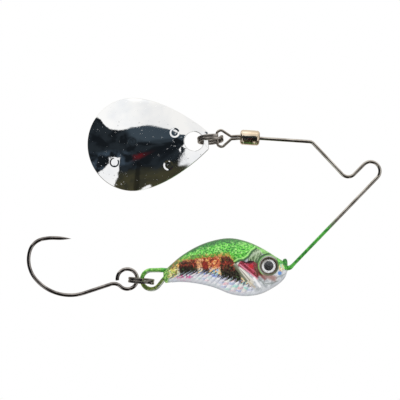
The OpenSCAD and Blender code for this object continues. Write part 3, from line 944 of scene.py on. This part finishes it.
def flank_film(side):
    """Thin film over one flank, following the moulded skin; side is -1 for the left."""
    t = np.linspace(*FILM_STATIONS, 130)
    angles = np.linspace(*FILM_ANGLES, 72)
    outer = fish_grid(t, angles, FILM_GAP + FILM_T)
    inner = fish_grid(t, angles, FILM_GAP)
    loop = np.concatenate([outer, inner[:, ::-1]], axis=1)
    middle = (outer + inner) / 2
    normal = np.cross(np.gradient(middle, axis=1), np.gradient(middle, axis=0))
    normal /= np.linalg.norm(normal, axis=-1, keepdims=True)
    normal *= np.sign(normal[..., 1:2])
    loop, groove = raised(loop, np.concatenate([normal, normal[:, ::-1]], axis=1))
    loop[..., 1] *= side
    return skin(loop), groove.ravel()


def eye_disc():
    """Printed disc with a rounded edge, lying on the socket's floor."""
    top = SOCKET_FLOOR + DISC_T
    profile = [(DISC_R - 0.03, SOCKET_FLOOR), (DISC_R, SOCKET_FLOOR + 0.03)]
    profile += arc((DISC_R - 0.04, top - 0.04), 0.04, 0, 90, 4)
    profile += [(r, top) for r in (1.3, 1.1, 0.9, 0.84, 0.7, 0.45, 0.2)]
    return lathe(profile, 96, closed=False)


def eye_dome():
    """Clear lens-shaped drop on the printed disc."""
    base = SOCKET_FLOOR + DISC_T
    ball = (DISC_R**2 + DOME_H**2) / (2 * DOME_H)
    edge = math.degrees(math.asin(DISC_R / ball))
    profile = [(DISC_R - 0.06, base - 0.02), (DISC_R - 0.05, base), (DISC_R - 0.01, base + 0.03)]
    for k in range(1, 19):
        lean = math.radians(edge * (1 - k / 18.5))
        profile.append((ball * math.sin(lean), base + DOME_H - ball + ball * math.cos(lean)))
    return lathe(profile, 96, closed=False)


shape, grooves = casting()
make_piece("fish_casting", shape, "lure_body", "body_core", CASTING,
           values={"groove": grooves})
for side, word in ((-1, "left"), (1, "right")):
    shape, grooves = flank_film(side)
    make_piece(f"flank_film_{word}", shape, "lure_body", f"film_{word}", HOLO_FILM,
               values={"groove": grooves})
    disc = eye_disc()
    radius = np.hypot(disc[0][:, 0], disc[0][:, 1])
    make_piece(f"eye_print_{word}", moved(disc, eye_frame(side)), "lure_body",
               f"eye_disc_{word}", EYE_PRINT, values={"eye_radius": radius})
    lens = make_piece(f"eye_resin_{word}", moved(eye_dome(), eye_frame(side)), "lure_body",
                      f"eye_dome_{word}", RESIN)
    lens.visible_shadow = False


# ---- through-wire ----

BARREL_MIDDLE = joint_point("barrel_spin")
MOUTH = joint_point("eye_spin")
ARM_DIR = direction(180 - ARM_SLOPE)
ARM_END = BARREL_MIDDLE - HEAD_BACK * ARM_DIR

# The wire's corners as x, z and bend radius: the arm, the line-tie bend, the fish's nose and the tail loop
TIE_CORNER = TIE_R * math.sqrt(2)
WIRE_ROUTE = [(*ARM_END, 0), (-11.75, 5.84, 1.2), (-4.48, -1.88, 1.65), (0, TIE_CORNER, TIE_R),
              (TIE_CORNER, 0, TIE_R), (-16.1, -19.4, 1.2), (-45.72, -19.88, 1.88), (-45.72, -23.64, 1.88),
              (-42.92, -23.64, 1.88), (-40.92, -21.08, 1.2), (-38.2, -21.08, 0)]


def wire_head(place):
    """Ball upset on the end of a wire inside the barrel."""
    profile = [tuple(HEAD_R * direction(a)) for a in range(-84, 90, 12)]
    return moved(lathe(profile, 48, closed=False), place)


def through_wire():
    """Arm, line-tie bend, the run through the fish and the tail loop, in one wire with its head."""
    stations = filled(bent_path(WIRE_ROUTE, 4), 0.35)
    x, z = np.array(stations)[:, :2].T
    # Lacquer builds up where the wire enters the nose and leaves the tail, and runs along the tail loop
    nose = np.hypot(x + 16.4, z + 19.3)
    tail = np.hypot(x + 41.3, (z + 20.6) * 0.6)
    radii = WIRE_D / 2 + 0.14 * np.exp(-(nose / 0.7) ** 2) + 0.1 * np.exp(-(tail / 0.8) ** 2)
    radii += 0.1 * smoothstep(x, -46.6, -45.0) * smoothstep(x, -41.0, -42.0)
    return joined(moved(tube(stations, radii), standing()), wire_head(standing(ARM_END, -ARM_SLOPE)))


make_piece("through_wire", through_wire(), "lure_body", "wire_form", BRIGHT_WIRE)


# ---- barrel swivel ----

def barrel():
    """Rolled drum: beads at both rims, a waist groove beside each, and a hollow inside."""
    r, half, c, wall = BARREL_R, BARREL_HALF, BARREL_CORNER, BARREL_WALL
    inner_c = c - 0.6 * wall
    outside = [(JOURNAL_HOLE_R + 0.03, -half), *arc((r - c, c - half), c, -90, 0, 12)]
    outside += [(r - 0.035, -half + c + 0.1), (r - 0.035, -half + c + 0.2), (r, -half + c + 0.32)]
    outside += [(r, half - c - 0.32), (r - 0.035, half - c - 0.2), (r - 0.035, half - c - 0.1)]
    outside += [*arc((r - c, half - c), c, 0, 90, 12), (NECK_HOLE_R + 0.03, half)]
    inside = [(NECK_HOLE_R, half - 0.03), (NECK_HOLE_R, half - wall)]
    inside += arc((r - wall - inner_c, half - wall - inner_c), inner_c, 90, 0)
    inside += arc((r - wall - inner_c, wall + inner_c - half), inner_c, 0, -90)
    inside += [(JOURNAL_HOLE_R, wall - half), (JOURNAL_HOLE_R, 0.03 - half)]
    along = Matrix.Rotation(math.radians(90), 4, "Y")
    return moved(lathe(outside + inside), standing(BARREL_MIDDLE, 180 - ARM_SLOPE) @ along)


def swivel_loop():
    """Wire eye whose two legs run side by side through the barrel's neck to their head."""
    half = EYE_WIRE_D / 2 + 0.01
    reach = float(np.linalg.norm(joint_point("blade_ring_swing") - MOUTH))
    upper = [(-1.0, half, 0), (2.0, half, 0.5), (3.9, 1.75, 0.7), (reach, 1.35, 0.6)]
    route = upper + [(x, -y, r) for x, y, r in reversed(upper)]
    loop = tube(filled(bent_path(route, 6), 0.4), EYE_WIRE_D / 2, 24)
    head = wire_head(Matrix.Translation((-1.0, 0, 0)))
    return moved(joined(loop, head), standing(MOUTH, 180 + EYE_SLOPE))


make_piece("swivel_drum", barrel(), "barrel", "swivel_barrel", BARREL_PLATE)
make_piece("swivel_loop", swivel_loop(), "swivel_end", "swivel_eye", DARK_WIRE)


# ---- split rings ----

def split_ring():
    """Two flat coils of rounded wire joined by one crossover, their cut ends on each side of it."""
    w, h, c = RING_HALF_W, RING_HALF_H, RING_CORNER
    section = []
    for x, y, start in ((w - c, h - c, 0), (c - w, h - c, 90), (c - w, c - h, 180), (w - c, c - h, 270)):
        section += arc((x, y), c, start, start + 90, 3)
    first = CROSSOVER / 2 + 3  # each end lies 3 degrees clear of the crossover
    steps = 220
    grid = []
    for k in range(steps + 1):
        turned = first + (720 - 2 * first) * k / steps
        cross = min(max((turned - 360) / CROSSOVER + 0.5, 0), 1)
        rise = -math.cos(math.pi * cross) * COIL_STEP / 2
        end = min(k, steps - k)
        shrink = 1 - 0.25 * max(0, 1 - end / 1.5)
        out = direction(turned)
        grid.append([(*((RING_MEAN_R + u * shrink) * out), v * shrink + rise) for u, v in section])
    return skin(np.array(grid))


def flat_ring(middle, tilt, turned, rolled=0):
    """A ring lying level at a point, tilted along its length and rolled about it."""
    lie = Matrix.Rotation(math.radians(90 + rolled), 4, "X") @ Matrix.Rotation(math.radians(turned), 4, "Z")
    return moved(split_ring(), standing(middle, tilt) @ lie)


BLADE_RING_MIDDLE = joint_point("blade_ring_swing") + RING_BEYOND_HANG * direction(180 + EYE_SLOPE)
make_piece("blade_split_ring", flat_ring(BLADE_RING_MIDDLE, 180 + EYE_SLOPE, 150, 12), "blade_link",
           "blade_ring", RING_PLATE)
make_piece("tail_split_ring", flat_ring(TAIL_RING_MIDDLE, -TAIL_RING_TILT, 60), "tail_link",
           "tail_ring", RING_PLATE)


# ---- blade ----

# Flat-bottomed pressed marks and small handling dents: place on the blade, radius and depth
MARKS = [(6.1, -1.87, 1.0, 0.1), (7.7, 4.55, 1.0, 0.1), (18.4, 3.4, 1.0, 0.1)]
DENTS = [(14.5, -0.6, 0.9, 0.035), (10.0, -5.4, 0.6, 0.03), (11.4, -7.4, 0.5, 0.025), (4.9, 1.5, 0.5, 0.04),
         (13.0, 6.6, 0.4, 0.02), (16.5, -1.4, 0.5, 0.02)]


def blade_outline():
    """Points round the blade from the middle of its hanging strip, as (along, across)."""
    steps = 72
    a, b, c, d = np.array([BLADE_TIP, BLADE_SHOULDER, BLADE_SIDE, (BLADE_WIDEST, BLADE_HALF_W)])
    upper = []
    for k in range(steps):
        t = k / steps
        upper.append(a * (1 - t)**3 + b * 3 * (1 - t)**2 * t + c * 3 * (1 - t) * t**2 + d * t**3)
    for k in range(steps + 1):
        turn = math.radians(90 * k / steps)
        beyond = (BLADE_REACH - BLADE_WIDEST) * math.sin(turn)
        upper.append(np.array([BLADE_WIDEST + beyond, BLADE_HALF_W * math.cos(turn)]))
    lower = [p * (1, -1) for p in reversed(upper[:-1])]
    return np.array(upper + lower)


def blade_height(points, outline):
    """Height of the blade's middle surface over its rim's plane, with its marks, dents and slow waves."""
    rel, out = points - (BLADE_BOWL, 0), outline - (BLADE_BOWL, 0)
    angles = np.unwrap(np.arctan2(out[:, 1], out[:, 0]))
    order = np.argsort(angles)
    turned = np.arctan2(rel[:, 1], rel[:, 0])
    reach = np.interp(turned, angles[order], np.hypot(*out.T)[order], period=2 * math.pi)
    s = np.minimum(np.hypot(*rel.T) / reach, 1)
    edge = BLADE_BOWL + rel[:, 0] / np.maximum(s, 1e-6)
    toward_tip = np.maximum(0, BLADE_BOWL - edge) / (BLADE_BOWL - BLADE_TIP[0])
    height = BLADE_DEPTH * (1 - s * s) ** (1 + 0.1 * toward_tip**2)
    for u, v, r, depth in DENTS:
        near = np.clip(1 - ((points[:, 0] - u)**2 + (points[:, 1] - v)**2) / r**2, 0, 1)
        height -= depth * near**2
    for u, v, r, depth in MARKS:
        height -= depth * smoothstep(np.hypot(points[:, 0] - u, points[:, 1] - v), r, 0.68 * r)
    waves = [noise.noise(Vector((u * 0.33, v * 0.33, 3.7))) for u, v in points]
    return height + 0.03 * np.array(waves) * np.minimum(1, (1 - s) * 6)


HOLE_STEPS = 72
FILL_RINGS = 38
# Circles of points round a pressed mark, as shares of its radius
MARK_CIRCLES = (0.2, 0.45, 0.62, 0.7, 0.76, 0.82, 0.88, 0.94, 1.0, 1.08)


def fill_points(outline, hole):
    """Points over the blade: rings that shrink towards its bowl, and fine circles at each pressed mark."""
    points = []
    for k in range(FILL_RINGS):
        s = (k + 0.5) / (FILL_RINGS + 0.35)
        count = max(8, int(len(outline) * min(1, s * 1.1) / 2))
        picks = np.linspace(0, len(outline), count, endpoint=False)
        for pick in picks + 0.5 * (k % 2):
            i = int(pick) % len(outline)
            p = np.array([BLADE_BOWL, 0]) * (1 - s) + s * outline[i]
            clear = math.dist(p, hole) > BLADE_HOLE_R + 0.12
            if clear and all(math.dist(p, (u, v)) > 1.2 * r for u, v, r, _ in MARKS):
                points.append(tuple(p))
    for u, v, r, _ in MARKS:
        for share in MARK_CIRCLES:
            points += [tuple(np.array([u, v]) + r * share * direction(10 * k)) for k in range(36)]
    return points


def blade():
    """Cupped plate with a round hole and pressed marks."""
    outline, hole = blade_outline(), np.array([BLADE_HOLE, 0])
    turns = [360 * k / HOLE_STEPS for k in range(HOLE_STEPS)]
    count = len(outline)
    points = [tuple(p) for p in outline] + [tuple(hole + BLADE_HOLE_R * direction(turn)) for turn in turns]
    edges = [(i, (i + 1) % count) for i in range(count)]
    edges += [(count + i, count + (i + 1) % HOLE_STEPS) for i in range(HOLE_STEPS)]
    points = [Vector(p) for p in points + fill_points(outline, hole)]
    flat, _, triangles, *_ = geometry.delaunay_2d_cdt(points, edges, [], 1, 1e-4)
    flat = np.array([tuple(p) for p in flat])
    kept = [tri for tri in triangles
            if np.linalg.norm(flat[list(tri)].mean(axis=0) - hole) > BLADE_HOLE_R]
    height = blade_height(flat, outline)
    count = len(flat)
    verts = np.concatenate([np.column_stack([flat, height + BLADE_T / 2]),
                            np.column_stack([flat, height - BLADE_T / 2])])
    faces = [tuple(tri) for tri in kept] + [tuple(i + count for i in reversed(tri)) for tri in kept]
    sides = dict.fromkeys(pair for tri in kept for pair in zip(tri, tri[1:] + tri[:1]))
    faces += [(a, a + count, b + count, b) for a, b in sides if (b, a) not in sides]
    return moved((verts, faces), standing(joint_point("blade_flare"), 180 + BLADE_SLOPE))


blade_piece = make_piece("cupped_blade", blade(), "blade", "blade", MIRROR)
bevel = blade_piece.modifiers.new("rounded", "BEVEL")
bevel.width = 0.14 * MM
bevel.segments = 3
bevel.limit_method = "ANGLE"
bevel.angle_limit = math.radians(55)


# ---- hook ----

# The hook's corners after its eye, as x, z and bend radius
HOOK_ROUTE = [(-50.85, -22.27, 1.96), (-63.14, -26.34, 9.0), (-69.10, -18.97, 6.0), (-67.47, -13.93, 3.4),
              (-64.16, -13.34, 10.0), (-62.85, -13.40, 0)]
EYE_START = 227
EYE_SWEEP = 321


def hook():
    """Barbless hook: open eye, long shank, wide bend and a tapered point."""
    eye = joint_point("hook_swing")
    turns = np.arange(EYE_START + EYE_SWEEP, EYE_START + 2, -4.0)
    loop = [(*(eye + HOOK_EYE_R * direction(a)), a - 90) for a in turns]
    route = [(*(eye + HOOK_EYE_R * direction(EYE_START)), 0), *HOOK_ROUTE]
    shank = filled(bent_path(route, 3), 0.4)
    end, heading = np.array(shank[-1][:2]), shank[-1][2]
    taper = np.linspace(0.06, 1, 16)
    point = [(*(end + t * HOOK_POINT * direction(heading)), heading) for t in taper]
    r = HOOK_D / 2
    radii = [r] * (len(loop) + len(shank)) + [max(0.02, r * (1 - t * t)) for t in taper]
    return moved(tube(loop + shank + point, radii), standing())


make_piece("barbless_hook", hook(), "hook", "hook", BLACK_NICKEL)


# ---- floor, lights and camera ----

FLOOR_LEVEL = -60.0
FLOOR_RINGS = (1, 60, 120, 190)


def soft_floor():
    """Round pale floor well under the lure, fading out at its edge."""
    turns = np.linspace(0, 2 * math.pi, 96, endpoint=False)
    rings = [[(r * math.cos(a), r * math.sin(a), FLOOR_LEVEL) for a in turns] for r in FLOOR_RINGS]
    s = Surface("floor")
    material = s.set(Base_Color=mix(s.noise(0.05, 3), (240, 240, 238), (247, 247, 246)), Roughness=0.9)
    radius = (s.x * s.x + s.y * s.y).math("SQRT")
    clear = add_node(s.tree, "BsdfTransparent")
    blend = add_node(s.tree, "MixShader", Fac=radius.step(80, 185))
    s.tree.links.new(s.shader.outputs[0], blend.inputs[1])
    s.tree.links.new(clear.outputs[0], blend.inputs[2])
    s.tree.links.new(blend.outputs[0], s.tree.nodes["Material Output"].inputs["Surface"])
    verts, faces = skin(np.array(rings))
    floor = new_object("floor", (verts, faces[:-1]), material)
    floor.visible_glossy = False
    floor.location.x = (cad_lo.x + cad_hi.x) / 2


def soft_light(name, place, size, watts):
    """Square soft light aimed at the middle of the lure; neither mirrors nor the resin show it."""
    data = bpy.data.lights.new(name, "AREA")
    data.energy = watts
    data.size = size
    light = bpy.data.objects.new(name, data)
    light.location = place
    middle = (cad_lo + cad_hi) / 2
    light.rotation_euler = (middle - Vector(place)).to_track_quat("-Z", "Y").to_euler()
    light.visible_glossy = False
    light.visible_transmission = False
    bpy.context.scene.collection.objects.link(light)


# What mirrors see of the studio, by direction: how high the bright ceiling starts from left to right
HORIZON = [(-1, 0.62), (-0.71, 0.51), (-0.62, 0.39), (-0.46, 0.34), (-0.18, 0.41), (0.2, 0.5), (0.35, 0.52),
           (0.45, 0.46), (1, 0.44)]
WHITE_CARD = (250, 250, 250)
CAMERA_WHITE = (1.0, 1.0, 1.0, 1.0)
LAMP_LIGHT = (1.5, 1.5, 1.46, 1.0)


def studio_room(x, y, z, ragged):
    """Dark room that mirrors see under the ceiling: slate blue above, black in the middle, olive low down."""
    clouds = ragged.step(-0.1, 0.1)
    slate = (z + ragged * 0.3).step(0.0, 0.25) * (x + ragged * 0.3).step(-0.35, -0.15)
    room = mix(slate, mix(clouds, (22, 26, 30), (36, 42, 47)), (60, 71, 80))
    room = mix((z + 0.3).abs().step(0.2, 0.1) * x.step(-0.1, -0.3) * clouds, room, (58, 70, 82))
    olive = mix(clouds, (52, 52, 42), (64, 62, 45))
    room = mix((z + ragged * 0.3).step(-0.54, -0.7), room, olive)
    room = mix((x - 0.04).abs().step(0.07, 0.03) * z.step(-0.4, -0.5) * 0.6, room, (18, 18, 18))
    # Dull red thing on a shelf, and a pale sill below it
    red = (x + 0.02 + ragged * 0.3).abs().step(0.19, 0.06) * (z + 0.31 + ragged * 0.2).abs().step(0.1, 0.0)
    room = mix(red * 0.7, room, (104, 26, 32))
    sill = (z - x * 0.3).step(-0.915, -0.925) * (x - 0.19).abs().step(0.09, 0.07)
    room = mix(sill, room, WHITE_CARD)
    # White cards on the right of the camera, and low on its left
    before = y.step(0.0, -0.1)
    right_card = (x + ragged * 0.06).step(0.48, 0.5) * z.step(-0.66, -0.62) * before
    room = mix(right_card, room, WHITE_CARD)
    left_edge = (z - x * 1.2 + ragged * 0.05).step(0.36, 0.33) | (x + ragged * 0.05).step(-0.62, -0.6)
    left_card = left_edge * (x + ragged * 0.06).step(-0.38, -0.4) * z.step(-0.25, -0.28) * before
    return mix(left_card, room, WHITE_CARD)


def studio_world():
    """White to the camera, soft white to matt surfaces, and to mirrors a bright ceiling over a dark room."""
    world = bpy.data.worlds.new("studio")
    world.use_nodes = True
    world.cycles.sampling_method = "NONE"
    bpy.context.scene.world = world
    tree = world.node_tree
    place = Field(add_node(tree, "TexCoord").outputs["Generated"])
    x, y, z = apart(place)
    ragged = Field(add_node(tree, "TexNoise", Vector=place, Scale=5.0).outputs[0]) - 0.5
    ceiling = (z - x.curve(HORIZON) + ragged * 0.05).step(-0.015, 0.015)
    room = studio_room(x, y, z, ragged)
    mirror = mix(ceiling, room, mix(x.step(-0.3, 0.3), (255, 255, 254), (248, 247, 245)))
    mirror = mix(y.step(0.4, 0.8), mirror, (222, 216, 206))
    # Lamp high in the ceiling, seen by wires and the barrel
    lamp = z.step(0.86, 0.96) * x.abs().step(0.5, 0.3) * y.step(0.1, -0.1)
    mirror = mix(lamp, mirror, LAMP_LIGHT)
    path = add_node(tree, "LightPath")
    reflected = Field(path.outputs["Is Glossy Ray"]) * (1 - Field(path.outputs["Is Transmission Ray"]))
    shown = mix(reflected, (234, 234, 236), mirror)
    shown = mix(Field(path.outputs["Is Camera Ray"]), shown, CAMERA_WHITE)
    plug(tree.nodes["Background"].inputs["Color"], shown)


def camera():
    """Long lens square to the lure's side, framed as a view 80 mm wide."""
    view_width, distance = 80.0, 620.0
    centre_x, centre_z = -34.1, -5.8
    data = bpy.data.cameras.new("camera")
    data.sensor_width = 36.0
    data.lens = data.sensor_width * distance / view_width
    data.clip_start, data.clip_end = 0.05, 5.0
    eye = bpy.data.objects.new("camera", data)
    eye.location = (centre_x * MM, -distance * MM, centre_z * MM)
    eye.rotation_euler = (math.radians(90), 0, 0)
    bpy.context.scene.collection.objects.link(eye)
    bpy.context.scene.camera = eye


soft_floor()
soft_light("top_light", (-0.03, -0.12, 0.5), 0.45, 0.9)
soft_light("front_light", (0.1, -0.5, 0.25), 0.4, 0.3)
studio_world()
camera()
bpy.context.scene.view_settings.view_transform = "Standard"

bpy.context.view_layer.update()
